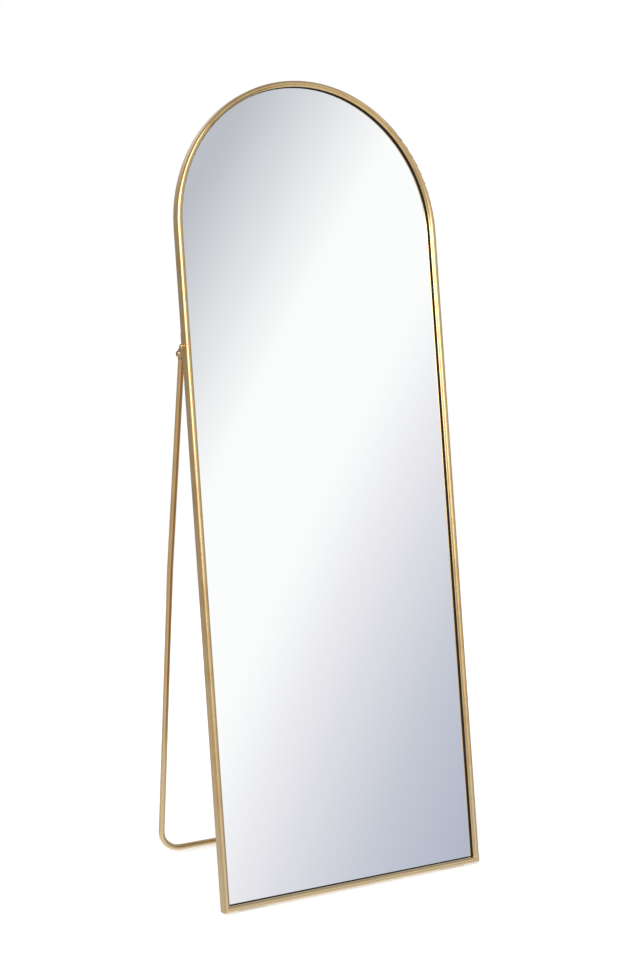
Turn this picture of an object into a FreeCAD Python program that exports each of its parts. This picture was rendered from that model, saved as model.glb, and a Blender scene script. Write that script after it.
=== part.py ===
import FreeCAD, Part
import Sketcher
import math
import os

# Folding floor mirror: an arched glass in a hollow gold rail, held up by an
# open U of round tube that hinges on the two sides of the rail.
# Millimetres and degrees, +Z up, the glass faces -Y.
# Mirror pieces are drawn upright with the rail's front at Y = 0 and its foot
# at Z = 0, then leaned back. Stand pieces are drawn upright about the pivot
# line, then leaned forward.

SIZES = {
    "frame_width": 610,
    "frame_height": 1650,
    "rail_face": 12,
    "rail_wall": 1.5,
    "rear_flange": 9,
    "gasket_thickness": 4,
    "gasket_lip": 0.6,
    "glass_setback": 12.5,
    "glass_thickness": 3,
    "tape_thickness": 0.8,
    "tape_width": 25,
    "tape_foot": 200,
    "board_thickness": 4,
    "board_clearance": 0.2,
    "edge_clearance": 1,
    "block_length": 40,
    "block_inset": 155,
    "lean_angle": 7.8,
    "key_arm": 40,
    "key_thickness": 2.4,
    "key_clearance": 0.5,
    "key_back_gap": 0.2,
    "set_screw_radius": 1.5,
    "set_screw_length": 4.6,
    "set_screw_distance": 26,
    "fit_clearance": 0.05,
    "hinge_below_arch": 245,
    "pivot_setback": 13,
    "cheek_thickness": 2.5,
    "pivot_lobe_radius": 6.6,
    "side_lobe_radius": 5.2,
    "side_lobe_rise": 13,
    "flange_thickness": 2,
    "flange_width": 12,
    "flange_drop": 6,
    "flange_rise": 40,
    "side_screw_radius": 1.5,
    "side_screw_length": 15.5,
    "side_head_radius": 5,
    "side_head_height": 4.4,
    "back_screw_radius": 1.75,
    "back_screw_length": 7.4,
    "back_head_radius": 3.5,
    "back_head_height": 2,
    "back_screw_rise": 20,
    "back_screw_pitch": 13,
    "back_screw_inset": 4.5,
    "bolt_radius": 3,
    "bolt_head_radius": 7.2,
    "bolt_head_height": 4.2,
    "bolt_overrun": 1.5,
    "washer_radius": 7,
    "washer_thickness": 0.9,
    "running_gap": 0.1,
    "nut_across_flats": 10,
    "nut_height": 5,
    "tongue_thickness": 8,
    "eye_radius": 8,
    "heel_length": 7,
    "stop_gap": 0.2,
    "collar_radius": 7,
    "collar_top": 9.5,
    "collar_height": 2.5,
    "plug_length": 30,
    "plug_clearance": 0.1,
    "pin_radius": 1.6,
    "pin_drop": 27,
    "pin_recess": 0.15,
    "tube_diameter": 12.7,
    "tube_wall": 1.2,
    "stand_angle": 11.49,
    "leg_top_angle": 1.75,
    "leg_bottom_angle": 3.02,
    "knee_drop": 450,
    "knee_radius": 2000,
    "bend_radius": 50,
    "pad_length": 30,
    "pad_inset": 120,
    "pad_wall": 2,
    "foot_length": 60,
    "foot_inset": 65,
    "foot_height": 1.2,
    "foot_front": 10,
    "foot_back_inset": 1,
}

# Values that follow from the sizes, in the order in which they are needed.
WORKED = {
    "half_width": "Sizes.frame_width / 2",
    "arch_centre": "Sizes.frame_height - Worked.half_width",
    "hinge_height": "Worked.arch_centre - Sizes.hinge_below_arch",
    "nose_radius": "Sizes.rail_face / 2",
    "web_back": "Sizes.glass_setback - Sizes.gasket_thickness",
    "web_front": "Worked.web_back - Sizes.rail_wall",
    "glass_back": "Sizes.glass_setback + Sizes.glass_thickness",
    "tape_back": "Worked.glass_back + Sizes.tape_thickness",
    "board_back": "Worked.tape_back + Sizes.board_thickness",
    "board_middle": "Worked.tape_back + Sizes.board_thickness / 2",
    "lip_front": "Worked.board_back + Sizes.board_clearance",
    "rail_depth": "Worked.lip_front + Sizes.rail_wall",
    "pane_inset": "Sizes.rail_wall + Sizes.edge_clearance",
    "pane_half": "Worked.half_width - Worked.pane_inset",
    "tape_length": "Worked.arch_centre - Sizes.tape_foot",
    "tape_pitch": "Worked.pane_half / 2",
    "sight_inset": "Sizes.rail_face + Sizes.gasket_lip",
    "sight_half": "Worked.half_width - Worked.sight_inset",
    "chamber_face": "Sizes.rail_face - Sizes.rail_wall",
    "key_low": "Sizes.rail_wall + Sizes.key_clearance",
    "key_high": "Sizes.rail_face - Worked.key_low",
    "key_end": "Worked.key_low + Sizes.key_arm",
    "key_back": "Worked.web_front - Sizes.key_back_gap",
    "set_screw_hole": "Sizes.set_screw_radius + Sizes.fit_clearance",
    "pivot_depth": "Worked.rail_depth + Sizes.pivot_setback",
    "mirror_lift": "Sizes.foot_height + Worked.rail_depth * sin(Sizes.lean_angle)",
    "pivot_z": "Worked.mirror_lift + Worked.hinge_height * cos(Sizes.lean_angle)"
               " - Worked.pivot_depth * sin(Sizes.lean_angle)",
    "pivot_back": "Worked.hinge_height * sin(Sizes.lean_angle)"
                  " + Worked.pivot_depth * cos(Sizes.lean_angle)",
    "tube_radius": "Sizes.tube_diameter / 2",
    "tube_bore": "Worked.tube_radius - Sizes.tube_wall",
    "pad_radius": "Worked.tube_radius + Sizes.pad_wall",
    "pad_bore": "Worked.tube_radius + Sizes.fit_clearance",
    "stand_length": "(Worked.pivot_z - Worked.pad_radius) / cos(Sizes.stand_angle)",
    "open_angle": "Sizes.lean_angle + Sizes.stand_angle",
    "bar_back": "Worked.pivot_back + Worked.stand_length * sin(Sizes.stand_angle)",
    "front_reach": "Worked.nose_radius * (cos(Sizes.lean_angle) + sin(Sizes.lean_angle) - 1)",
    "mirror_y": "-(Worked.front_reach + Worked.bar_back + Worked.pad_radius) / 2",
    "pivot_y": "Worked.mirror_y + Worked.pivot_back",
    "bar_y": "Worked.mirror_y + Worked.bar_back",
    "cheek_outer": "Worked.half_width + Sizes.cheek_thickness",
    "flange_back": "Worked.rail_depth + Sizes.flange_thickness",
    "flange_edge": "Worked.half_width - Sizes.flange_width",
    "flange_low": "Worked.hinge_height - Sizes.flange_drop",
    "flange_high": "Worked.hinge_height + Sizes.flange_rise",
    "side_lobe_height": "Worked.hinge_height + Sizes.side_lobe_rise",
    "lobe_run": "Worked.pivot_depth - Worked.board_middle",
    "lobe_span": "sqrt(Worked.lobe_run ^ 2 + Sizes.side_lobe_rise ^ 2)",
    "lobe_taper": "(Sizes.side_lobe_radius - Sizes.pivot_lobe_radius) / Worked.lobe_span",
    "lobe_square": "sqrt(1 - Worked.lobe_taper ^ 2)",
    "upper_across": "(Worked.lobe_run * Worked.lobe_taper"
                    " + Sizes.side_lobe_rise * Worked.lobe_square) / Worked.lobe_span",
    "upper_along": "(-Sizes.side_lobe_rise * Worked.lobe_taper"
                   " + Worked.lobe_run * Worked.lobe_square) / Worked.lobe_span",
    "lower_across": "(Worked.lobe_run * Worked.lobe_taper"
                    " - Sizes.side_lobe_rise * Worked.lobe_square) / Worked.lobe_span",
    "lower_along": "(-Sizes.side_lobe_rise * Worked.lobe_taper"
                   " - Worked.lobe_run * Worked.lobe_square) / Worked.lobe_span",
    "side_up_t": "Worked.board_middle + Sizes.side_lobe_radius * Worked.upper_across",
    "side_up_s": "Worked.side_lobe_height + Sizes.side_lobe_radius * Worked.upper_along",
    "side_low_t": "Worked.board_middle + Sizes.side_lobe_radius * Worked.lower_across",
    "side_low_s": "Worked.side_lobe_height + Sizes.side_lobe_radius * Worked.lower_along",
    "pivot_up_t": "Worked.pivot_depth + Sizes.pivot_lobe_radius * Worked.upper_across",
    "pivot_up_s": "Worked.hinge_height + Sizes.pivot_lobe_radius * Worked.upper_along",
    "pivot_low_t": "Worked.pivot_depth + Sizes.pivot_lobe_radius * Worked.lower_across",
    "pivot_low_s": "Worked.hinge_height + Sizes.pivot_lobe_radius * Worked.lower_along",
    "bolt_hole": "Sizes.bolt_radius + Sizes.fit_clearance",
    "side_screw_hole": "Sizes.side_screw_radius + Sizes.fit_clearance",
    "back_screw_hole": "Sizes.back_screw_radius + Sizes.fit_clearance",
    "back_screw_line": "Worked.half_width - Sizes.back_screw_inset",
    "back_screw_low": "Worked.hinge_height + Sizes.back_screw_rise",
    "back_screw_high": "Worked.back_screw_low + Sizes.back_screw_pitch",
    "washer_inner": "Worked.half_width - Sizes.washer_thickness",
    "tongue_outer": "Worked.washer_inner - Sizes.running_gap",
    "tongue_inner": "Worked.tongue_outer - Sizes.tongue_thickness",
    "leg_line": "Worked.tongue_outer - Sizes.tongue_thickness / 2",
    "inner_washer_outer": "Worked.tongue_inner - Sizes.running_gap",
    "nut_outer": "Worked.inner_washer_outer - Sizes.washer_thickness",
    "nut_inner": "Worked.nut_outer - Sizes.nut_height",
    "bolt_length": "Worked.cheek_outer - Worked.nut_inner + Sizes.bolt_overrun",
    "collar_foot": "Sizes.collar_top + Sizes.collar_height",
    "neck_foot": "Sizes.collar_top + Sizes.collar_height / 2",
    "plug_radius": "Worked.tube_bore - Sizes.plug_clearance",
    "pin_hole": "Sizes.pin_radius + Sizes.fit_clearance",
    "heel_reach": "Sizes.pivot_setback - Sizes.flange_thickness - Sizes.stop_gap",
    "heel_low_y": "-Worked.heel_reach * cos(Worked.open_angle)",
    "heel_low_z": "Worked.heel_reach * sin(Worked.open_angle)",
    "heel_high_y": "Worked.heel_low_y + Sizes.heel_length * sin(Worked.open_angle)",
    "heel_high_z": "Worked.heel_low_z + Sizes.heel_length * cos(Worked.open_angle)",
    "heel_top_y": "Sizes.eye_radius * sin(Worked.open_angle)",
    "heel_top_z": "Sizes.eye_radius * cos(Worked.open_angle)",
    "leg_start": "Worked.leg_line - Worked.collar_foot * tan(Sizes.leg_top_angle)",
    "pin_line": "Worked.leg_line - Sizes.pin_drop * tan(Sizes.leg_top_angle)",
    "bend_rise": "Sizes.bend_radius * (1 - sin(Sizes.leg_bottom_angle))",
    "bend_start": "Worked.stand_length - Worked.bend_rise",
    "knee_line": "Worked.leg_line - Sizes.knee_drop * tan(Sizes.leg_top_angle)",
    "knee_reach": "Sizes.knee_radius * tan((Sizes.leg_bottom_angle - Sizes.leg_top_angle) / 2)",
    "knee_top_x": "Worked.knee_line + Worked.knee_reach * sin(Sizes.leg_top_angle)",
    "knee_top_z": "Sizes.knee_drop - Worked.knee_reach * cos(Sizes.leg_top_angle)",
    "knee_foot_x": "Worked.knee_line - Worked.knee_reach * sin(Sizes.leg_bottom_angle)",
    "knee_foot_z": "Sizes.knee_drop + Worked.knee_reach * cos(Sizes.leg_bottom_angle)",
    "bend_line": "Worked.knee_line - (Worked.bend_start - Sizes.knee_drop)"
                 " * tan(Sizes.leg_bottom_angle)",
    "upper_run": "(Worked.knee_top_z - Worked.collar_foot) / cos(Sizes.leg_top_angle)",
    "lower_run": "(Worked.bend_start - Worked.knee_foot_z) / cos(Sizes.leg_bottom_angle)",
    "knee_angle": "Sizes.leg_bottom_angle - Sizes.leg_top_angle",
    "bend_angle": "90 - Sizes.leg_bottom_angle",
    "bar_half": "Worked.bend_line - Sizes.bend_radius * cos(Sizes.leg_bottom_angle)",
    "pad_offset": "Worked.bar_half - Sizes.pad_inset",
    "pad_start": "Worked.pad_offset + Sizes.pad_length / 2",
    "foot_back": "Worked.rail_depth - Sizes.foot_back_inset",
    "foot_front_drop": "(Worked.mirror_lift - Sizes.foot_front * sin(Sizes.lean_angle))"
                       " / cos(Sizes.lean_angle)",
    "foot_back_drop": "(Worked.mirror_lift - Worked.foot_back * sin(Sizes.lean_angle))"
                      " / cos(Sizes.lean_angle)",
    "foot_offset": "Worked.half_width - Sizes.foot_inset",
    "foot_start": "Worked.foot_offset + Sizes.foot_length / 2",
    "block_offset": "Worked.half_width - Sizes.block_inset",
    "block_depth": "Worked.board_back - Worked.web_back",
}

NODES = []


def start_document():
    doc = FreeCAD.newDocument("FoldingFloorMirror")
    sheet = doc.addObject("Spreadsheet::Sheet", "Sizes")
    for row, (name, number) in enumerate(SIZES.items(), start=1):
        sheet.set(f"A{row}", str(number))
        sheet.setAlias(f"A{row}", name)
    doc.recompute()
    worked = doc.addObject("App::VarSet", "Worked")
    for name, rule in WORKED.items():
        worked.addProperty("App::PropertyFloat", name, "Worked")
        worked.setExpression(name, rule)
        doc.recompute()
    return doc


DOC = start_document()


def terms(text):
    # "half_width - rail_wall" as pairs of a sign and a name.
    sign = 1
    for token in text.split():
        if token in ("+", "-"):
            sign = 1 if token == "+" else -1
        elif token.startswith("-"):
            yield -sign, token[1:]
        else:
            yield sign, token


def owner(name):
    return "Sizes" if name in SIZES else "Worked"


def formula(text):
    pieces = []
    for sign, name in terms(text):
        mark = "+" if sign > 0 else "-"
        pieces.append(f"{mark} {owner(name)}.{name}")
    return " ".join(pieces).removeprefix("+ ")


def number(text):
    total = 0.0
    for sign, name in terms(text):
        source = DOC.getObject(owner(name))
        total += sign * float(getattr(source, name))
    return total


def left_side(text):
    return text


def right_side(text):
    # The same length with every sign turned over.
    flipped = [f"{'-' if sign > 0 else '+'} {name}" for sign, name in terms(text)]
    return " ".join(flipped).removeprefix("+ ")


SIDES = (left_side, right_side)


def bind(item, **rules):
    for field, text in rules.items():
        item.setExpression(field.replace("_at_", "."), formula(text))


def new_body(label):
    return DOC.addObject("PartDesign::Body", label)


def new_sketch(body, plane, offset="0"):
    sketch = body.newObject("Sketcher::SketchObject", f"{body.Name}_sketch")
    face = next(item for item in body.Origin.OriginFeatures if item.Role == plane)
    sketch.AttachmentSupport = [(face, "")]
    sketch.MapMode = "FlatFace"
    if offset != "0":
        sketch.setExpression("AttachmentOffset.Base.z", formula(offset))
    return sketch


def new_leg_sketch(body, sign, across, drop, angle):
    # Square to a leg at a point on its middle line; sketch x points inward on the left leg.
    sketch = new_sketch(body, "XY_Plane")
    sketch.AttachmentOffset = FreeCAD.Placement(
        FreeCAD.Vector(), FreeCAD.Rotation(FreeCAD.Vector(0, 1, 0), 1)
    )
    sketch.setExpression("AttachmentOffset.Base.x", f"{sign} * {formula(across)}")
    sketch.setExpression("AttachmentOffset.Base.z", f"-({formula(drop)})")
    sketch.setExpression("AttachmentOffset.Rotation.Angle", f"{sign} * {formula(angle)}")
    return sketch


def pin_down(sketch, geometry, end, across, up):
    # Holds one sketch point at two lengths from the sketch's origin.
    for kind, text, axis in (("DistanceX", across, -2), ("DistanceY", up, -1)):
        if text is None:
            continue
        if text == "0":
            sketch.addConstraint(Sketcher.Constraint("PointOnObject", geometry, end, axis))
            continue
        rule = Sketcher.Constraint(kind, -1, 1, geometry, end, number(text))
        index = sketch.addConstraint(rule)
        sketch.renameConstraint(index, f"held{index}")
        sketch.setExpression(f"Constraints.held{index}", formula(text))


def at(across, up):
    return FreeCAD.Vector(
        0.0 if across == "0" else number(across), 0.0 if up == "0" else number(up), 0.0
    )


def arc_between(first, last, centre, turn):
    # The arc from first to last about centre; turn is 1 for anticlockwise.
    begin = math.atan2(first.y - centre.y, first.x - centre.x)
    finish = math.atan2(last.y - centre.y, last.x - centre.x)
    sweep = (turn * (finish - begin)) % (2 * math.pi)
    middle = begin + turn * sweep / 2
    radius = first.distanceToPoint(centre)
    halfway = centre + FreeCAD.Vector(radius * math.cos(middle), radius * math.sin(middle), 0)
    return Part.Arc(first, halfway, last)


def draw(sketch, corners, arcs=None, closed=True):
    # Corners are pairs of texts; arcs gives a centre and a turn for the edge
    # that leaves the corner of that number.
    arcs = arcs or {}
    count = len(corners)
    spots = [at(*corner) for corner in corners]
    edges = []
    for place in range(count if closed else count - 1):
        first = spots[place]
        last = spots[(place + 1) % count]
        if place in arcs:
            across, up, turn = arcs[place]
            shape = arc_between(first, last, at(across, up), turn)
        else:
            shape = Part.LineSegment(first, last)
        index = sketch.addGeometry(shape, False)
        swapped = sketch.getPoint(index, 1).distanceToPoint(first) > 1e-6
        edges.append((index, 2 if swapped else 1, 1 if swapped else 2))
    for place, (index, begin, finish) in enumerate(edges):
        pin_down(sketch, index, begin, *corners[place])
        if closed or place + 1 < len(edges):
            following, start, _ = edges[(place + 1) % len(edges)]
            sketch.addConstraint(
                Sketcher.Constraint("Coincident", index, finish, following, start)
            )
        else:
            pin_down(sketch, index, finish, *corners[place + 1])
        if place in arcs:
            across, up, _ = arcs[place]
            chord = spots[(place + 1) % count] - spots[place]
            if abs(chord.y) > abs(chord.x):
                pin_down(sketch, index, 3, across, None)
            else:
                pin_down(sketch, index, 3, None, up)
    return sketch


def draw_circle(sketch, across, up, radius):
    circle = Part.Circle(at(across, up), FreeCAD.Vector(0, 0, 1), number(radius))
    index = sketch.addGeometry(circle, False)
    pin_down(sketch, index, 3, across, up)
    held = sketch.addConstraint(Sketcher.Constraint("Radius", index, number(radius)))
    sketch.renameConstraint(held, f"held{held}")
    sketch.setExpression(f"Constraints.held{held}", formula(radius))
    return sketch


def pad(body, sketch, length, backward=False):
    feature = body.newObject("PartDesign::Pad", f"{body.Name}_pad")
    feature.Profile = sketch
    feature.Reversed = backward
    bind(feature, Length=length)
    DOC.recompute()
    return feature


def pocket(body, sketch, length=None, backward=False):
    feature = body.newObject("PartDesign::Pocket", f"{body.Name}_pocket")
    feature.Profile = sketch
    if length is None:
        feature.Type = "ThroughAll"
        feature.SideType = "Symmetric"
    else:
        feature.Reversed = backward
        bind(feature, Length=length)
    DOC.recompute()
    return feature


def place_on_mirror(item):
    item.Placement = FreeCAD.Placement(FreeCAD.Vector(), FreeCAD.Rotation(FreeCAD.Vector(1, 0, 0), 0))
    bind(item, Placement_at_Base_at_y="mirror_y", Placement_at_Base_at_z="mirror_lift")
    bind(item, Placement_at_Rotation_at_Angle="-lean_angle")
    return item


def place_on_stand(item):
    item.Placement = FreeCAD.Placement(FreeCAD.Vector(), FreeCAD.Rotation(FreeCAD.Vector(1, 0, 0), 0))
    bind(item, Placement_at_Base_at_y="pivot_y", Placement_at_Base_at_z="pivot_z")
    bind(item, Placement_at_Rotation_at_Angle="stand_angle")
    return item


def keep(item, label):
    item.Label = label
    NODES.append(item)
    DOC.recompute()
    return item


def keep_mirrored(source, label):
    twin = DOC.addObject("Part::Mirroring", label)
    twin.Source = source
    twin.Normal = (1, 0, 0)
    twin.Base = (0, 0, 0)
    return keep(twin, label)


def group(label, members):
    cluster = DOC.addObject("Part::Compound", label)
    cluster.Links = members
    return cluster


def box(back, up, width, depth, height):
    item = DOC.addObject("Part::Box", "block")
    bind(item, Length=width, Width=depth, Height=height)
    bind(item, Placement_at_Base_at_y=back, Placement_at_Base_at_z=up)
    return item


# Turns the axis of a round piece from +Z to the way its head faces.
FACING = {
    "left": FreeCAD.Rotation(FreeCAD.Vector(0, 1, 0), -90),
    "right": FreeCAD.Rotation(FreeCAD.Vector(0, 1, 0), 90),
    "back": FreeCAD.Rotation(FreeCAD.Vector(1, 0, 0), -90),
}


def set_at(item, facing, across, back, up):
    item.Placement = FreeCAD.Placement(FreeCAD.Vector(), FACING[facing])
    for field, text in (("x", across), ("y", back), ("z", up)):
        if text != "0":
            item.setExpression(f"Placement.Base.{field}", formula(text))
    return item


def cylinder(radius, length):
    item = DOC.addObject("Part::Cylinder", "round")
    bind(item, Radius=radius, Height=length)
    return item


def domed_pin(radius, length, head_radius, head_height):
    # A round shank below Z = 0 under a domed head, the head facing +Z.
    shank = cylinder(radius, length)
    shank.setExpression("Placement.Base.z", formula(f"-{length}"))
    dome = DOC.addObject("Part::Sphere", "dome")
    width = formula(head_radius)
    rise = formula(head_height)
    ball = f"({width} ^ 2 + {rise} ^ 2) / (2 * {rise})"
    dome.setExpression("Radius", ball)
    dome.setExpression("Angle1", f"asin(1 - {rise} / ({ball}))")
    dome.setExpression("Placement.Base.z", f"{rise} - {ball}")
    whole = DOC.addObject("Part::MultiFuse", "domed_pin")
    whole.Shapes = [shank, dome]
    return whole


def ring(outer, inner, length):
    disc = cylinder(outer, length)
    hole = cylinder(inner, length)
    item = DOC.addObject("Part::Cut", "ring")
    item.Base = disc
    item.Tool = hole
    return item


def rail_section(sketch, spot, turn):
    # Bull-nosed hollow front, glazing rebate behind it, lip at the back.
    outside = [
        spot("0", "nose_radius"),
        spot("0", "rail_depth"),
        spot("rear_flange", "rail_depth"),
        spot("rear_flange", "lip_front"),
        spot("rail_wall", "lip_front"),
        spot("rail_wall", "web_back"),
        spot("rail_face", "web_back"),
        spot("rail_face", "nose_radius"),
    ]
    chamber = [
        spot("rail_wall", "nose_radius"),
        spot("rail_wall", "web_front"),
        spot("chamber_face", "web_front"),
        spot("chamber_face", "nose_radius"),
    ]
    centre = spot("nose_radius", "nose_radius")
    draw(sketch, outside, {7: (*centre, turn)})
    draw(sketch, chamber, {3: (*centre, turn)})
    return sketch


def arch_outline(sketch, half, foot):
    corners = [
        (f"-{half}", foot),
        (half, foot),
        (half, "arch_centre"),
        (f"-{half}", "arch_centre"),
    ]
    return draw(sketch, corners, {2: ("0", "arch_centre", 1)})


def make_frame_arch():
    body = new_body("frame_arch")

    def spot(inward, back):
        across = "-half_width" if inward == "0" else f"-half_width + {inward}"
        return across, back

    def far_spot(inward, back):
        return right_side(spot(inward, back)[0]), back

    legs = rail_section(new_sketch(body, "XY_Plane"), spot, -1)
    rail_section(legs, far_spot, 1)
    pad(body, legs, "arch_centre")
    crown = rail_section(new_sketch(body, "XY_Plane", "arch_centre"), spot, -1)
    turned = body.newObject("PartDesign::Revolution", "frame_arch_crown")
    turned.Profile = crown
    turned.ReferenceAxis = (crown, ["V_Axis"])
    turned.Angle = 180
    DOC.recompute()
    if turned.Shape.BoundBox.ZMax < number("arch_centre + rail_face"):
        turned.Reversed = True
        DOC.recompute()
    mitre = new_sketch(body, "XZ_Plane")
    for side in SIDES:
        inner = side("-half_width + rail_face + nose_radius")
        draw(mitre, [
            (side("-half_width - nose_radius"), "-nose_radius"),
            (inner, "-nose_radius"),
            (inner, "rail_face + nose_radius"),
        ])
    pocket(body, mitre)
    edges = new_sketch(body, "YZ_Plane")
    draw_circle(edges, "board_middle", "side_lobe_height", "side_screw_hole")
    pocket(body, edges)
    backs = new_sketch(body, "XZ_Plane", "-rail_depth")
    webs = new_sketch(body, "XZ_Plane", "-web_back")
    for side in SIDES:
        for height in ("back_screw_low", "back_screw_high"):
            draw_circle(backs, side("-back_screw_line"), height, "back_screw_hole")
        draw_circle(webs, side("-half_width + nose_radius"), "set_screw_distance", "set_screw_hole")
    pocket(body, backs, "rail_wall + board_clearance", backward=True)
    pocket(body, webs, "rail_wall + key_back_gap", backward=True)
    return keep(place_on_mirror(body), "frame_arch")


def make_frame_bottom_rail():
    body = new_body("frame_bottom_rail")
    section = new_sketch(body, "YZ_Plane", "-half_width")
    rail_section(section, lambda inward, back: (back, inward), 1)
    pad(body, section, "frame_width")
    mitre = new_sketch(body, "XZ_Plane")
    for side in SIDES:
        outer = side("-half_width - nose_radius")
        draw(mitre, [
            (outer, "-nose_radius"),
            (side("-half_width + rail_face + nose_radius"), "rail_face + nose_radius"),
            (outer, "rail_face + nose_radius"),
        ])
    pocket(body, mitre)
    webs = new_sketch(body, "XZ_Plane", "-web_back")
    for side in SIDES:
        draw_circle(webs, side("-half_width + set_screw_distance"), "nose_radius", "set_screw_hole")
    pocket(body, webs, "rail_wall + key_back_gap", backward=True)
    return keep(place_on_mirror(body), "frame_bottom_rail")


def make_corner_keys():
    body = new_body("corner_key_left")
    sketch = new_sketch(body, "XZ_Plane", "-key_back")
    draw(sketch, [
        ("-half_width + key_low", "key_low"),
        ("-half_width + key_end", "key_low"),
        ("-half_width + key_end", "key_high"),
        ("-half_width + key_high", "key_high"),
        ("-half_width + key_high", "key_end"),
        ("-half_width + key_low", "key_end"),
    ])
    pad(body, sketch, "key_thickness")
    holes = new_sketch(body, "XZ_Plane", "-key_back")
    draw_circle(holes, "-half_width + nose_radius", "set_screw_distance", "set_screw_hole")
    draw_circle(holes, "-half_width + set_screw_distance", "nose_radius", "set_screw_hole")
    pocket(body, holes)
    keep(place_on_mirror(body), "corner_key_left")
    keep_mirrored(body, "corner_key_right")
    screws = []
    for side in SIDES:
        upright = (side("-half_width + nose_radius"), "set_screw_distance")
        level = (side("-half_width + set_screw_distance"), "nose_radius")
        for across, up in (upright, level):
            screw = cylinder("set_screw_radius", "set_screw_length")
            screws.append(set_at(screw, "back", across, "web_back - set_screw_length", up))
    keep(place_on_mirror(group("corner_key_screws", screws)), "corner_key_screws")


def make_panes():
    gasket = new_body("glass_gasket")
    lips = arch_outline(new_sketch(gasket, "XZ_Plane", "-glass_setback"), "pane_half", "pane_inset")
    arch_outline(lips, "sight_half", "sight_inset")
    pad(gasket, lips, "gasket_thickness")
    keep(place_on_mirror(gasket), "glass_gasket")

    glass = new_body("mirror_glass")
    pane = arch_outline(new_sketch(glass, "XZ_Plane", "-glass_back"), "pane_half", "pane_inset")
    pad(glass, pane, "glass_thickness")
    keep(place_on_mirror(glass), "mirror_glass")

    strips = []
    for place in (-1.5, -0.5, 0.5, 1.5):
        strip = box("glass_back", "tape_foot", "tape_width", "tape_thickness", "tape_length")
        middle = f"{place} * Worked.tape_pitch"
        strip.setExpression("Placement.Base.x", f"{middle} - Sizes.tape_width / 2")
        strips.append(strip)
    keep(place_on_mirror(group("mounting_tape", strips)), "mounting_tape")

    board = new_body("backing_board")
    panel = arch_outline(new_sketch(board, "XZ_Plane", "-board_back"), "pane_half", "pane_inset")
    pad(board, panel, "board_thickness")
    depth = "side_screw_length - cheek_thickness - pane_inset + fit_clearance"
    for offset, backward in (("-pane_half", True), ("pane_half", False)):
        edge = new_sketch(board, "YZ_Plane", offset)
        draw_circle(edge, "board_middle", "side_lobe_height", "side_screw_hole")
        pocket(board, edge, depth, backward)
    backs = new_sketch(board, "XZ_Plane", "-board_back")
    for side in SIDES:
        for height in ("back_screw_low", "back_screw_high"):
            draw_circle(backs, side("-back_screw_line"), height, "back_screw_hole")
    reach = "back_screw_length - flange_thickness - rail_wall - board_clearance + fit_clearance"
    pocket(board, backs, reach, backward=True)
    keep(place_on_mirror(board), "backing_board")

    blocks = []
    for place in (-1, 1):
        block = box("web_back", "rail_wall", "block_length", "block_depth", "edge_clearance")
        middle = f"{place} * Worked.block_offset"
        block.setExpression("Placement.Base.x", f"{middle} - Sizes.block_length / 2")
        blocks.append(block)
    keep(place_on_mirror(group("setting_blocks", blocks)), "setting_blocks")


def make_brackets():
    body = new_body("hinge_bracket_left")
    cheek = new_sketch(body, "YZ_Plane", "-cheek_outer")
    draw(cheek, [
        ("side_up_t", "side_up_s"),
        ("side_low_t", "side_low_s"),
        ("pivot_low_t", "pivot_low_s"),
        ("pivot_up_t", "pivot_up_s"),
    ], {0: ("board_middle", "side_lobe_height", 1), 2: ("pivot_depth", "hinge_height", 1)})
    pad(body, cheek, "cheek_thickness")
    flange = new_sketch(body, "XZ_Plane", "-flange_back")
    draw(flange, [
        ("-half_width", "flange_low"),
        ("-flange_edge", "flange_low"),
        ("-flange_edge", "flange_high"),
        ("-half_width", "flange_high"),
    ])
    pad(body, flange, "flange_thickness")
    across = new_sketch(body, "YZ_Plane", "-cheek_outer")
    draw_circle(across, "pivot_depth", "hinge_height", "bolt_hole")
    draw_circle(across, "board_middle", "side_lobe_height", "side_screw_hole")
    pocket(body, across)
    through = new_sketch(body, "XZ_Plane", "-flange_back")
    for height in ("back_screw_low", "back_screw_high"):
        draw_circle(through, "-back_screw_line", height, "back_screw_hole")
    pocket(body, through)
    keep(place_on_mirror(body), "hinge_bracket_left")
    keep_mirrored(body, "hinge_bracket_right")

    outers = []
    backs = []
    for side, facing in zip(SIDES, ("left", "right")):
        screw = domed_pin(
            "side_screw_radius", "side_screw_length", "side_head_radius", "side_head_height"
        )
        outers.append(
            set_at(screw, facing, side("-cheek_outer"), "board_middle", "side_lobe_height")
        )
        for height in ("back_screw_low", "back_screw_high"):
            screw = domed_pin(
                "back_screw_radius", "back_screw_length", "back_head_radius", "back_head_height"
            )
            backs.append(set_at(screw, "back", side("-back_screw_line"), "flange_back", height))
    keep(place_on_mirror(group("bracket_side_screws", outers)), "bracket_side_screws")
    keep(place_on_mirror(group("bracket_back_screws", backs)), "bracket_back_screws")


def make_pivots():
    bolt = domed_pin("bolt_radius", "bolt_length", "bolt_head_radius", "bolt_head_height")
    keep(set_at(bolt, "left", "-cheek_outer", "pivot_y", "pivot_z"), "pivot_bolt_left")
    keep_mirrored(bolt, "pivot_bolt_right")

    washers = []
    nuts = []
    for side, facing in zip(SIDES, ("left", "right")):
        for start in ("-washer_inner", "-nut_outer"):
            washer = ring("washer_radius", "bolt_hole", "washer_thickness")
            washers.append(set_at(washer, facing, side(start), "0", "0"))
        hexagon = DOC.addObject("Part::Prism", "hexagon")
        hexagon.Polygon = 6
        hexagon.setExpression("Circumradius", "Sizes.nut_across_flats / 2 / cos(30)")
        bind(hexagon, Height="nut_height")
        nut = DOC.addObject("Part::Cut", "nut")
        nut.Base = hexagon
        nut.Tool = cylinder("bolt_hole", "nut_height")
        nuts.append(set_at(nut, facing, side("-nut_inner"), "0", "0"))
    for label, members in (("pivot_washers", washers), ("pivot_nuts", nuts)):
        cluster = group(label, members)
        bind(cluster, Placement_at_Base_at_y="pivot_y", Placement_at_Base_at_z="pivot_z")
        keep(cluster, label)


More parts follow.
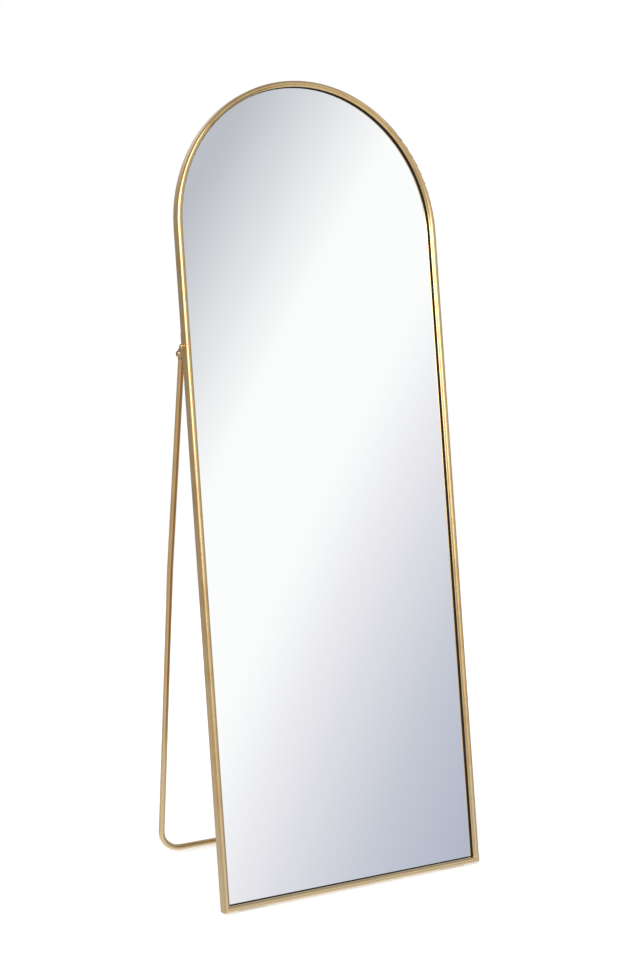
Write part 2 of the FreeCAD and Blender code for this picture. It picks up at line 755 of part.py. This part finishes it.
def make_knuckles():
    body = new_body("leg_knuckle_left")
    eye = draw_circle(new_sketch(body, "YZ_Plane", "-tongue_outer"), "0", "0", "eye_radius")
    pad(body, eye, "tongue_thickness")
    heel = new_sketch(body, "YZ_Plane", "-tongue_outer")
    draw(heel, [
        ("0", "0"),
        ("heel_top_y", "heel_top_z"),
        ("heel_high_y", "heel_high_z"),
        ("heel_low_y", "heel_low_z"),
    ])
    pad(body, heel, "tongue_thickness")
    neck = new_sketch(body, "YZ_Plane", "-tongue_outer")
    draw(neck, [
        ("-tube_radius", "-neck_foot"),
        ("tube_radius", "-neck_foot"),
        ("tube_radius", "0"),
        ("-tube_radius", "0"),
    ])
    pad(body, neck, "tongue_thickness")
    for radius, length, downward in (
        ("collar_radius", "collar_height", False),
        ("plug_radius", "plug_length", True),
    ):
        disc = new_leg_sketch(body, -1, "leg_start", "collar_foot", "leg_top_angle")
        pad(body, draw_circle(disc, "0", "0", radius), length, downward)
    pocket(body, draw_circle(new_sketch(body, "YZ_Plane", "-leg_line"), "0", "0", "bolt_hole"))
    cross = draw_circle(new_sketch(body, "XZ_Plane"), "-pin_line", "-pin_drop", "pin_hole")
    pocket(body, cross, "tube_radius")
    keep(place_on_stand(body), "leg_knuckle_left")
    keep_mirrored(body, "leg_knuckle_right")

    pins = []
    for side in SIDES:
        pin = cylinder("pin_radius", "tube_radius - pin_recess")
        pins.append(set_at(pin, "back", side("-pin_line"), "0", "-pin_drop"))
    keep(place_on_stand(group("knuckle_pins", pins)), "knuckle_pins")


def tube_ring(sketch, up="0"):
    draw_circle(sketch, "0", up, "tube_radius")
    draw_circle(sketch, "0", up, "tube_bore")
    return sketch


def bend_tube(body, sketch, sign, radius, angle):
    # Turns a ring of tube downward about a line one bend radius inside it.
    reach = number(radius) if sign < 0 else -number(radius)
    line = Part.LineSegment(FreeCAD.Vector(reach, 0, 0), FreeCAD.Vector(reach, abs(reach), 0))
    index = sketch.addGeometry(line, True)
    inside = radius if sign < 0 else f"-{radius}"
    pin_down(sketch, index, 1, inside, "0")
    pin_down(sketch, index, 2, inside, radius)
    turn = body.newObject("PartDesign::Revolution", f"{body.Name}_bend")
    turn.Profile = sketch
    turn.ReferenceAxis = (sketch, ["Axis0"])
    bind(turn, Angle=angle)
    turn.Reversed = sign < 0
    DOC.recompute()
    return turn


def make_stand_tube():
    body = new_body("stand_tube")
    bar = tube_ring(new_sketch(body, "YZ_Plane", "-bar_half"), "-stand_length")
    pad(body, bar, "bar_half + bar_half")
    for sign in (-1, 1):
        corner = new_leg_sketch(body, sign, "bend_line", "bend_start", "leg_bottom_angle")
        bend_tube(body, tube_ring(corner), sign, "bend_radius", "bend_angle")
        lower = new_leg_sketch(body, sign, "bend_line", "bend_start", "leg_bottom_angle")
        pad(body, tube_ring(lower), "lower_run")
        knee = new_leg_sketch(body, sign, "knee_top_x", "knee_top_z", "leg_top_angle")
        bend_tube(body, tube_ring(knee), sign, "knee_radius", "knee_angle")
        upper = new_leg_sketch(body, sign, "knee_top_x", "knee_top_z", "leg_top_angle")
        pad(body, tube_ring(upper), "upper_run")
    holes = new_sketch(body, "XZ_Plane")
    for side in SIDES:
        draw_circle(holes, side("-pin_line"), "-pin_drop", "pin_hole")
    pocket(body, holes, "tube_diameter")
    return keep(place_on_stand(body), "stand_tube")


def make_rubber():
    boot = new_body("stand_pad_left")
    section = new_sketch(boot, "YZ_Plane", "-pad_start")
    draw(section, [
        ("-pad_radius", "-pad_radius"),
        ("pad_radius", "-pad_radius"),
        ("pad_radius", "0"),
        ("-pad_radius", "0"),
    ], {2: ("0", "0", 1)})
    draw_circle(section, "0", "0", "pad_bore")
    pad(boot, section, "pad_length")
    bind(boot, Placement_at_Base_at_y="bar_y", Placement_at_Base_at_z="pad_radius")
    keep(boot, "stand_pad_left")
    keep_mirrored(boot, "stand_pad_right")

    foot = new_body("front_foot_left")
    wedge = new_sketch(foot, "YZ_Plane", "-foot_start")
    draw(wedge, [
        ("foot_front", "-foot_front_drop"),
        ("foot_back", "-foot_back_drop"),
        ("foot_back", "0"),
        ("foot_front", "0"),
    ])
    pad(foot, wedge, "foot_length")
    keep(place_on_mirror(foot), "front_foot_left")
    keep_mirrored(foot, "front_foot_right")


def check_document():
    DOC.recompute()
    for item in DOC.Objects:
        if "Invalid" in item.State or "Error" in item.State:
            raise RuntimeError(f"{item.Label} is {item.State}")
    for item in NODES:
        if item.Shape.isNull() or not item.Shape.isValid() or not item.Shape.Solids:
            raise RuntimeError(f"{item.Label} has no sound solid")


make_frame_arch()
make_frame_bottom_rail()
make_corner_keys()
make_panes()
make_brackets()
make_pivots()
make_knuckles()
make_stand_tube()
make_rubber()
check_document()

os.makedirs("parts", exist_ok=True)
for node in NODES:
    node.Shape.exportStep(f"parts/{node.Label}.step")
    size = node.Shape.BoundBox
    print(node.Label, len(node.Shape.Solids), round(node.Shape.Volume, 1),
          [round(v, 2) for v in (size.XMin, size.XMax, size.YMin, size.YMax, size.ZMin, size.ZMax)])
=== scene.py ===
from math import cos, pi, radians, sin, sqrt
import bmesh
import bpy
from mathutils import Matrix, Vector


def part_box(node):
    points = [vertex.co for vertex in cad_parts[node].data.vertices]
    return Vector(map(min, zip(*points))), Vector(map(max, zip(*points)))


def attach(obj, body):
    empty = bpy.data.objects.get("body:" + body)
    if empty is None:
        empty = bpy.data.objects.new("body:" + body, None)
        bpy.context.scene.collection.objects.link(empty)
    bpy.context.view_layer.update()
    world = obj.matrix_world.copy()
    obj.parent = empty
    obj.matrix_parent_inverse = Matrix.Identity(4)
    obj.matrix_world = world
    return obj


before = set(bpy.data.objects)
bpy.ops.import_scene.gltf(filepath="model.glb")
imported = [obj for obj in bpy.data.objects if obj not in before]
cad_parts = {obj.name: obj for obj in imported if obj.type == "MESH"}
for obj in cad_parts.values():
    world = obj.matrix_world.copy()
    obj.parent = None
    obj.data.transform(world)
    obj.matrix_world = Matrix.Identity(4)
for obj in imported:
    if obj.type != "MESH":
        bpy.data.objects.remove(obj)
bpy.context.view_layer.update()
print("frame loaded:", len(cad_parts), "nodes")


def tone(red, green, blue):  # a screen colour, 0 to 255, as the linear colour that sockets take
    def linear(part):
        part = part / 255
        return part / 12.92 if part <= 0.04045 else ((part + 0.055) / 1.055) ** 2.4
    return (linear(red), linear(green), linear(blue), 1.0)


class Wire:  # one output socket, with sums written in Python
    def __init__(self, finish, socket):
        self.finish = finish
        self.socket = socket

    def sum(self, operation, first, second=0.0):
        return self.finish.add("ShaderNodeMath", {"operation": operation}, {0: first, 1: second})

    def out(self, name):  # another output of the same node
        return Wire(self.finish, self.socket.node.outputs[name])

    def __add__(self, other):
        return self.sum("ADD", self, other)

    def __sub__(self, other):
        return self.sum("SUBTRACT", self, other)

    def __mul__(self, other):
        return self.sum("MULTIPLY", self, other)

    def __truediv__(self, other):
        return self.sum("DIVIDE", self, other)

    def __pow__(self, other):
        return self.sum("POWER", self, other)

    def __radd__(self, other):
        return self.sum("ADD", other, self)

    def __rsub__(self, other):
        return self.sum("SUBTRACT", other, self)

    def __rmul__(self, other):
        return self.sum("MULTIPLY", other, self)

    def __rtruediv__(self, other):
        return self.sum("DIVIDE", other, self)

    def __rpow__(self, other):
        return self.sum("POWER", other, self)

    def __abs__(self):
        return self.sum("ABSOLUTE", self)

    def top(self, other):
        return self.sum("MAXIMUM", self, other)

    def low(self, other):
        return self.sum("MINIMUM", self, other)


class Finish:  # a node tree being wired up
    def __init__(self, tree):
        self.tree = tree
        tree.nodes.clear()

    def add(self, kind, settings=None, sockets=None, out=0):
        made = self.tree.nodes.new(kind)
        for name, value in (settings or {}).items():
            if name == "stops":
                self.setStops(made.color_ramp, value)
            else:
                setattr(made, name, value)
        for name, value in (sockets or {}).items():
            if isinstance(value, Wire):
                self.tree.links.new(value.socket, made.inputs[name])
            else:
                made.inputs[name].default_value = value
        return Wire(self, made.outputs[out] if made.outputs else None)

    def setStops(self, ramp, stops):
        while len(ramp.elements) < len(stops):
            ramp.elements.new(0.5)
        for element, (place, colour) in zip(ramp.elements, stops):
            element.position = place
            element.color = colour

    def sweep(self, value, stops):  # colours along a value that goes from -1 to 1
        placed = [(place * 0.5 + 0.5, tone(*colour)) for place, *colour in stops]
        return self.add("ShaderNodeValToRGB", {"stops": placed}, {0: value * 0.5 + 0.5})

    def span(self, value, low, high, start=0.0, end=1.0):  # low..high becomes start..end, smoothly
        settings = {"interpolation_type": "SMOOTHSTEP"}
        sockets = {0: value, 1: low, 2: high, 3: start, 4: end}
        return self.add("ShaderNodeMapRange", settings, sockets)

    def blend(self, amount, first, second, how="MIX"):  # two colours
        settings = {"data_type": "RGBA", "blend_type": how}
        return self.add("ShaderNodeMix", settings, {0: amount, 6: first, 7: second}, out=2)

    def place(self, seat):  # the piece's own straight coordinates, before it was leaned
        point = self.add("ShaderNodeTexCoord", out="Object")
        sockets = {0: point, 1: seat["at"], 2: (seat["turn"], 0, 0)}
        return self.add("ShaderNodeMapping", {"vector_type": "TEXTURE"}, sockets)

    def stretch(self, point, scale):
        return self.add("ShaderNodeVectorMath", {"operation": "MULTIPLY"}, {0: point, 1: scale})

    def noise(self, point, scale, detail, rough=0.55):
        sockets = {"Vector": point, "Scale": scale, "Detail": detail, "Roughness": rough}
        return self.add("ShaderNodeTexNoise", {}, sockets)

    def bump(self, height, depth, strength):
        sockets = {"Height": height, "Distance": depth, "Strength": strength}
        return self.add("ShaderNodeBump", {}, sockets)

    def surface(self, sockets):  # the closing shader
        shader = self.add("ShaderNodeBsdfPrincipled", {}, sockets)
        self.add("ShaderNodeOutputMaterial", {}, {"Surface": shader})


def newFinish(name):
    material = bpy.data.materials.new(name)
    material.use_nodes = True
    return material, Finish(material.node_tree)


# where the two bodies stand: the mirror leans back about its foot, the stand hangs from its bolts
mirrorSeat = {"at": (0, -0.206394, 0.0041857), "turn": radians(-7.8)}
standSeat = {"at": (0, -0.0224305, 1.0892583), "turn": radians(11.49)}
arch = {"height": 1.345, "radius": 0.305}

# brushed gold under lacquer; scuffs are the heights between which it grows paler towards the foot
goldRail = {
    "colour": tone(228, 195, 138), "deep": tone(216, 179, 119), "worn": tone(238, 216, 174),
    "clouds": 14.0, "cloudRange": (0.35, 0.7), "cloudLift": (0.3, 0.62),
    "brush": (2600, 2600, 30), "specks": 900.0,
    "streaks": (500, 500, 9), "streakRange": (0.55, 0.8), "streakShare": 0.25,
    "rubs": 5.0, "rubRange": (0.52, 0.72), "rubGloss": 0.04,
    "scuffs": (0.30, 0.0), "scuffShare": 0.65,
    "rough": 0.22, "brushRough": 0.16, "cloudRough": 0.10,
    "brushRelief": 0.6, "streakRelief": 0.3, "speckRelief": 0.35, "relief": 0.00006, "strength": 0.4,
    "lacquer": 0.85, "gloss": 0.14,
}
goldTube = dict(goldRail, colour=tone(222, 187, 133), deep=tone(214, 178, 124), rough=0.26,
                scuffs=(-0.50, -1.02))
goldFitting = dict(goldRail, colour=tone(204, 175, 130), deep=tone(186, 154, 108), rough=0.28)
goldScrew = dict(goldFitting, colour=tone(194, 166, 124), deep=tone(176, 146, 104), rough=0.36, lacquer=0.4)


def goldSkin(name, look, seat, roundTheArch=False):
    material, f = newFinish(name)
    point = f.place(seat)
    across = f.add("ShaderNodeSeparateXYZ", {}, {0: point})
    depth, height = across.out("Y"), across.out("Z")
    if roundTheArch:  # the grain follows the rail up one side and over the arch
        rise = (height - arch["height"]).top(0.0)
        turned = across.sum("ARCTAN2", rise, abs(across))
        along = height.low(arch["height"]) + turned * arch["radius"]
        out = (across * across + rise * rise) ** 0.5
        point = f.add("ShaderNodeCombineXYZ", {}, {0: out, 1: depth, 2: along})
    brush = f.noise(f.stretch(point, look["brush"]), 1.0, detail=2.0)
    streaks = f.noise(f.stretch(point, look["streaks"]), 1.0, detail=3.0)
    clouds = f.noise(point, look["clouds"], detail=4.0, rough=0.6)
    specks = f.noise(point, look["specks"], detail=2.0, rough=0.7)
    rubs = f.span(f.noise(point, look["rubs"], detail=3.0), *look["rubRange"])
    colour = f.blend(f.span(clouds, *look["cloudRange"]), look["deep"], look["colour"])
    colour = f.blend(f.span(clouds, *look["cloudLift"]), colour, look["colour"])
    colour = f.blend(f.span(streaks, *look["streakRange"]) * look["streakShare"], colour, look["worn"])
    colour = f.blend(f.span(height, *look["scuffs"]) * look["scuffShare"], colour, look["worn"])
    rough = look["rough"] + (brush - 0.5) * look["brushRough"]
    rough = rough + (clouds - 0.5) * look["cloudRough"] - rubs * look["rubGloss"]
    relief = brush * look["brushRelief"] + streaks * look["streakRelief"] + specks * look["speckRelief"]
    f.surface({"Base Color": colour, "Metallic": 1.0, "Roughness": rough,
               "Coat Weight": look["lacquer"], "Coat Roughness": look["gloss"],
               "Normal": f.bump(relief, look["relief"], look["strength"])})
    return material


# front and back are the depths, from the frame's front, where the silver ends and the paint starts
glass = {
    "silver": (0.965, 0.975, 0.975, 1), "front": (0.01254, 0.01262),
    "edge": tone(104, 142, 130), "back": (0.0154, 0.01546),
    "paint": tone(112, 118, 122), "patch": tone(92, 100, 104),
    "patches": 60.0, "patchRange": (0.4, 0.7), "patchShare": 0.5,
    "smears": (6, 6, 2.5), "smearRange": (0.5, 0.8), "smearRough": 0.012,
    "rough": 0.004, "paintRough": 0.42,
}


def mirrorSkin(name, look):
    material, f = newFinish(name)
    point = f.place(mirrorSeat)
    depth = f.add("ShaderNodeSeparateXYZ", {}, {0: point}, out="Y")
    front = f.span(depth, *look["front"], 1.0, 0.0)
    back = f.span(depth, *look["back"])
    smears = f.span(f.noise(f.stretch(point, look["smears"]), 1.0, detail=4.0), *look["smearRange"])
    patches = f.span(f.noise(point, look["patches"], detail=4.0), *look["patchRange"])
    edge = f.blend(back, look["edge"], look["paint"])
    edge = f.blend(patches * look["patchShare"], edge, look["patch"])
    colour = f.blend(front, edge, look["silver"])
    rough = front * (look["rough"] + smears * look["smearRough"]) + (1 - front) * look["paintRough"]
    f.surface({"Base Color": colour, "Metallic": front, "Roughness": rough})
    return material


board = {
    "colour": tone(163, 142, 115), "other": tone(170, 150, 124), "fibre": tone(134, 112, 88),
    "clouds": 16.0, "cloudRange": (0.3, 0.72),
    "fibres": (700, 300, 260), "fibreRange": (0.55, 0.75), "fibreShare": 0.32, "tufts": 1400.0,
    "rough": 0.82, "fibreRough": 0.15,
    "fibreRelief": 0.6, "tuftRelief": 0.5, "relief": 0.00025, "strength": 0.55,
}


def boardSkin(name, look):
    material, f = newFinish(name)
    point = f.place(mirrorSeat)
    fibres = f.noise(f.stretch(point, look["fibres"]), 1.0, detail=4.0, rough=0.65)
    tufts = f.noise(point, look["tufts"], detail=2.0)
    clouds = f.noise(point, look["clouds"], detail=5.0, rough=0.6)
    colour = f.blend(f.span(clouds, *look["cloudRange"]), look["colour"], look["other"])
    colour = f.blend(f.span(fibres, *look["fibreRange"]) * look["fibreShare"], colour, look["fibre"])
    rough = look["rough"] + (fibres - 0.5) * look["fibreRough"]
    relief = fibres * look["fibreRelief"] + tufts * look["tuftRelief"]
    f.surface({"Base Color": colour, "Roughness": rough,
               "Normal": f.bump(relief, look["relief"], look["strength"])})
    return material


# the small pieces: two tones in soft clouds with a fine grain
plain = {
    "clouds": 14.4, "cloudRange": (0.35, 0.7), "cloudShare": 0.8,
    "grain": 720.0, "grainRange": (0.5, 0.8), "grainShare": 0.3, "grainRough": 0.2,
    "metallic": 0.0, "specular": 0.5, "relief": 0.00008, "strength": 0.5,
}
keyMetal = dict(plain, colour=tone(168, 168, 166), other=tone(140, 141, 142), rough=0.5, metallic=1.0)
steel = dict(plain, colour=tone(198, 200, 202), other=tone(168, 172, 178), rough=0.34, metallic=1.0)
gasket = dict(plain, colour=tone(24, 18, 11), other=tone(15, 11, 7), rough=0.75, specular=0.2)
foam = dict(plain, colour=tone(226, 226, 220), other=tone(206, 206, 200), rough=0.9,
            clouds=36.0, grain=1800.0)
nylon = dict(plain, colour=tone(232, 230, 222), other=tone(214, 212, 203), rough=0.45)
rubber = dict(plain, colour=tone(226, 224, 214), other=tone(205, 202, 190), rough=0.4)


def plainSkin(name, look):
    material, f = newFinish(name)
    point = f.add("ShaderNodeTexCoord", out="Object")
    clouds = f.noise(point, look["clouds"], detail=4.0)
    grain = f.noise(point, look["grain"], detail=3.0, rough=0.65)
    colour = f.blend(f.span(clouds, *look["cloudRange"]) * look["cloudShare"], look["colour"], look["other"])
    colour = f.blend(f.span(grain, *look["grainRange"]) * look["grainShare"], colour, look["other"])
    rough = look["rough"] + (grain - 0.5) * look["grainRough"]
    f.surface({"Base Color": colour, "Metallic": look["metallic"], "Roughness": rough,
               "Specular IOR Level": look["specular"],
               "Normal": f.bump(grain, look["relief"], look["strength"])})
    return material


skins = {  # by the CAD nodes' slot names
    "gold_rail": goldSkin("gold_rail", goldRail, mirrorSeat, True),
    "gold_tube": goldSkin("gold_tube", goldTube, standSeat),
    "gold_fitting": goldSkin("gold_fitting", goldFitting, mirrorSeat),
    "gold_screw": goldSkin("gold_screw", goldScrew, mirrorSeat),
    "silvered_glass": mirrorSkin("silvered_glass", glass),
    "fibre_board": boardSkin("fibre_board", board),
    "key_metal": plainSkin("key_metal", keyMetal),
    "plain_steel": plainSkin("plain_steel", steel),
    "black_gasket": plainSkin("black_gasket", gasket),
    "foam_tape": plainSkin("foam_tape", foam),
    "nylon": plainSkin("nylon", nylon),
    "clear_rubber": plainSkin("clear_rubber", rubber),
}
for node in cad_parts.values():
    for slot in node.material_slots:
        slot.material = skins[slot.material.name.split(".")[0]]
print("finishes:", len(skins))

# edges eased by a fraction of a millimetre catch the light, and the corner joints show as fine lines
easing = {
    "frame_arch": 0.25, "frame_bottom_rail": 0.25,
    "hinge_bracket_left": 0.4, "hinge_bracket_right": 0.4,
    "leg_knuckle_left": 0.4, "leg_knuckle_right": 0.4,
    "pivot_nuts": 0.4, "pivot_washers": 0.15,
    "front_foot_left": 0.4, "front_foot_right": 0.4,
    "stand_pad_left": 0.5, "stand_pad_right": 0.5,
    "stand_tube": 0.2, "knuckle_pins": 0.2,
}
edges = {"weld": 1e-6, "flat": radians(0.3), "sharp": radians(38), "split": radians(35),
         "steps": 2, "weight": 50}


def refine(node, kind, **settings):
    made = node.modifiers.new(kind.lower(), kind)
    for name, value in settings.items():
        setattr(made, name, value)


for name, width in easing.items():
    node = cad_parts[name]
    refine(node, "WELD", merge_threshold=edges["weld"])
    refine(node, "DECIMATE", decimate_type="DISSOLVE", angle_limit=edges["flat"])
    refine(node, "BEVEL", width=width / 1000, segments=edges["steps"], limit_method="ANGLE",
           angle_limit=edges["sharp"], use_clamp_overlap=False, miter_outer="MITER_ARC")
    refine(node, "WEIGHTED_NORMAL", mode="FACE_AREA", weight=edges["weight"])
print("eased edges:", len(easing))

# driver recesses: hexagon sockets in the domed bolts and side screws, crosses in the flange screws
recess = {
    "boltFlats": 0.005, "boltDepth": 0.0028, "screwFlats": 0.0035, "screwDepth": 0.0026,
    "crossLength": 0.0042, "crossWidth": 0.0011, "crossDepth": 0.0013, "crossTaper": 0.75,
    "crossAcross": 0.3005, "crossTop": 0.026, "crossHeights": (1.120, 1.133), "clear": 0.001,
}


def hexagon(flats):
    radius = flats / sqrt(3)
    return [(radius * cos(turn * pi / 3), radius * sin(turn * pi / 3)) for turn in range(6)]


def cross(length, width):
    far, near = length / 2, width / 2
    arm = [(far, -near), (far, near), (near, near)]
    return [(x * c - y * s, x * s + y * c) for c, s in ((1, 0), (0, 1), (-1, 0), (0, -1)) for x, y in arm]


def sink(node, outline, depth, seats, taper=1.0):  # cuts the outline into each seat: a point and a way out
    plan = bmesh.new()
    for point, way in seats:
        turn = Vector(way).to_track_quat("Z", "Y").to_matrix()
        rings = []
        for height, scale in ((-depth, taper), (recess["clear"], 1.0)):
            rings.append([plan.verts.new(Vector(point) + turn @ Vector((x * scale, y * scale, height)))
                          for x, y in outline])
        plan.faces.new(rings[0])
        plan.faces.new(rings[1])
        for step in range(len(outline)):
            after = (step + 1) % len(outline)
            plan.faces.new((rings[0][step], rings[0][after], rings[1][after], rings[1][step]))
    bmesh.ops.recalc_face_normals(plan, faces=plan.faces)
    mesh = bpy.data.meshes.new(node.name + "_cutter")
    plan.to_mesh(mesh)
    plan.free()
    cutter = bpy.data.objects.new(node.name + "_cutter", mesh)
    bpy.context.scene.collection.objects.link(cutter)
    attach(cutter, "mirror")
    cutter.hide_render = True
    refine(node, "WELD", merge_threshold=edges["weld"])
    refine(node, "BOOLEAN", operation="DIFFERENCE", object=cutter, solver="EXACT")
    refine(node, "EDGE_SPLIT", split_angle=edges["split"])
    refine(node, "WEIGHTED_NORMAL", mode="FACE_AREA", weight=edges["weight"])


def crown(name, side):  # the top of a head that points out sideways
    lowest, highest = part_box(name)
    middle = (lowest + highest) / 2
    return (highest.x if side > 0 else lowest.x, middle.y, middle.z), (side, 0, 0)


for name, side in (("pivot_bolt_left", -1), ("pivot_bolt_right", 1)):
    sink(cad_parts[name], hexagon(recess["boltFlats"]), recess["boltDepth"], [crown(name, side)])
sink(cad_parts["bracket_side_screws"], hexagon(recess["screwFlats"]), recess["screwDepth"],
     [crown("bracket_side_screws", -1), crown("bracket_side_screws", 1)])
lean = Matrix.Translation(mirrorSeat["at"]) @ Matrix.Rotation(mirrorSeat["turn"], 4, "X")
backwards = lean.to_3x3() @ Vector((0, 1, 0))
crossSeats = []
for side in (-1, 1):
    for height in recess["crossHeights"]:
        head = lean @ Vector((side * recess["crossAcross"], recess["crossTop"], height))
        crossSeats.append((head, backwards))
sink(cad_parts["bracket_back_screws"], cross(recess["crossLength"], recess["crossWidth"]),
     recess["crossDepth"], crossSeats, recess["crossTaper"])
print("recesses cut")

# camera, worked out for the photograph's frame of 640 by 960
view = {"at": (-1.8395, -3.15499, 1.23479), "yaw": radians(30.660), "pitch": radians(6.495),
        "lens": 66.05, "sensor": 36.0}
lensData = bpy.data.cameras.new("mirrorCamera")
lensData.sensor_fit = "VERTICAL"
lensData.sensor_height = view["sensor"]
lensData.lens = view["lens"]
camera = bpy.data.objects.new("mirrorCamera", lensData)
bpy.context.scene.collection.objects.link(camera)
camera.location = view["at"]
camera.rotation_euler = (pi / 2 - view["pitch"], 0, -view["yaw"])
bpy.context.scene.camera = camera

# the studio: white for the camera, pale walls and one soft box for what the metal and glass show
# along the axis the walls go from grey through a white sheet to blue-grey; a zone's From is where it fades in
studio = {
    "axis": (0.890, 0.0, -0.455), "front": (0.6, -0.8),
    "band": [(-0.770, 178, 176, 174), (-0.426, 224, 223, 222), (-0.206, 238, 238, 238),
             (0.015, 215, 215, 218), (0.268, 190, 193, 200), (0.346, 255, 255, 255),
             (0.400, 255, 255, 255), (0.447, 230, 229, 235), (0.496, 198, 202, 214),
             (0.545, 175, 181, 198), (0.629, 166, 169, 176), (1.0, 192, 191, 190)],
    "behind": [(-1.0, 190, 188, 186), (-0.75, 160, 158, 156), (-0.38, 160, 158, 156),
               (-0.12, 226, 224, 222), (0.25, 226, 224, 222), (0.55, 160, 158, 156),
               (1.0, 158, 156, 154)],  # from left to right
    "behindFrom": (-0.1, 0.5),
    "above": tone(168, 166, 163), "aboveFrom": (0.45, 0.8),
    "below": tone(202, 199, 195), "belowFrom": (-0.10, -0.28),
    "ahead": tone(180, 178, 175), "aheadFrom": (0.5, 0.85),
    "aside": tone(126, 124, 121), "asideFrom": (0.55, 0.82),
    "under": tone(238, 236, 233), "underFrom": (-0.44, -0.68),
}
softBox = {"towards": (-0.80, -0.60), "narrow": 0.72, "wide": 0.92, "foot": -0.05, "sill": 0.24,
           "head": 0.40, "top": 0.66, "fade": 2.0, "glow": 3.4}
world = bpy.data.worlds.new("studio")
bpy.context.scene.world = world
world.use_nodes = True
w = Finish(world.node_tree)
looking = w.add("ShaderNodeTexCoord", out="Generated")
right = w.add("ShaderNodeSeparateXYZ", {}, {0: looking})
away, up = right.out("Y"), right.out("Z")
facing = w.add("ShaderNodeVectorMath", {"operation": "DOT_PRODUCT"},
               {0: looking, 1: studio["axis"]}, out="Value")
wall = w.sweep(facing, studio["band"])
wall = w.blend(w.span(away, *studio["behindFrom"]), wall, w.sweep(right, studio["behind"]))
wall = w.blend(w.span(up, *studio["aboveFrom"]), wall, studio["above"])
forward = right * studio["front"][0] + away * studio["front"][1]
low = w.blend(w.span(right, *studio["asideFrom"]), studio["ahead"], studio["aside"])
low = w.blend(w.span(forward, *studio["aheadFrom"]), studio["below"], low)
wall = w.blend(w.span(up, *studio["belowFrom"]), wall, low)
wall = w.blend(w.span(up, *studio["underFrom"]), wall, studio["under"])
level = (1 - up * up).top(0.0001) ** 0.5  # the direction's length along the ground
along = (right * softBox["towards"][0] + away * softBox["towards"][1]) / level
panel = w.span(along, softBox["narrow"], softBox["wide"]) * w.span(up, softBox["foot"], softBox["sill"])
panel = panel ** softBox["fade"] * w.span(up, softBox["head"], softBox["top"], 1.0, 0.0)
wall = w.blend(panel, wall, (softBox["glow"], softBox["glow"], softBox["glow"], 1), "ADD")
path = w.add("ShaderNodeLightPath")
seenPlain = path.out("Is Camera Ray").top(path.out("Is Transmission Ray"))
shown = w.blend(seenPlain, wall, (1, 1, 1, 1))
w.add("ShaderNodeOutputWorld", {}, {"Surface": w.add("ShaderNodeBackground", {}, {"Color": shown})})

softSun = {"way": (0.42, 0.60, -0.75), "power": 0.6, "spread": radians(30)}
sunData = bpy.data.lights.new("softSun", "SUN")
sunData.energy = softSun["power"]
sunData.angle = softSun["spread"]
sun = bpy.data.objects.new("softSun", sunData)
bpy.context.scene.collection.objects.link(sun)
sun.rotation_euler = Vector(softSun["way"]).to_track_quat("-Z", "Y").to_euler()

rearLamp = {"at": (0.3, 2.5, 2.0), "aim": (0, 0, 0.8), "size": 2.2, "power": 30}  # lights the board's back
rearData = bpy.data.lights.new("rearLamp", "AREA")
rearData.energy = rearLamp["power"]
rearData.size = rearLamp["size"]
rear = bpy.data.objects.new("rearLamp", rearData)
bpy.context.scene.collection.objects.link(rear)
rear.location = rearLamp["at"]
rearWay = Vector(rearLamp["aim"]) - Vector(rearLamp["at"])
rear.rotation_euler = rearWay.to_track_quat("-Z", "Y").to_euler()
rear.visible_glossy = False
rear.visible_camera = False

# the floor: only the camera sees its glow
paper = {"radius": 40, "sides": 96, "colour": (0.8, 0.8, 0.8, 1), "glow": 0.43}
floorMesh = bpy.data.meshes.new("studio_floor")
plan = bmesh.new()
bmesh.ops.create_circle(plan, cap_ends=True, radius=paper["radius"], segments=paper["sides"])
plan.to_mesh(floorMesh)
plan.free()
floor = bpy.data.objects.new("studio_floor", floorMesh)
bpy.context.scene.collection.objects.link(floor)
floor.visible_glossy = False
paperSkin, p = newFinish("studio_paper")
lit = p.add("ShaderNodeBsdfDiffuse", {}, {"Color": paper["colour"]})
glow = p.add("ShaderNodeEmission", {}, {"Color": (1, 1, 1, 1), "Strength": paper["glow"]})
both = p.add("ShaderNodeAddShader", {}, {0: lit, 1: glow})
seen = p.add("ShaderNodeLightPath", out="Is Camera Ray")
mixed = p.add("ShaderNodeMixShader", {}, {0: seen, 1: lit, 2: both})
p.add("ShaderNodeOutputMaterial", {}, {"Surface": mixed})
floorMesh.materials.append(paperSkin)
bpy.context.scene.view_settings.view_transform = "Standard"
print("studio set")
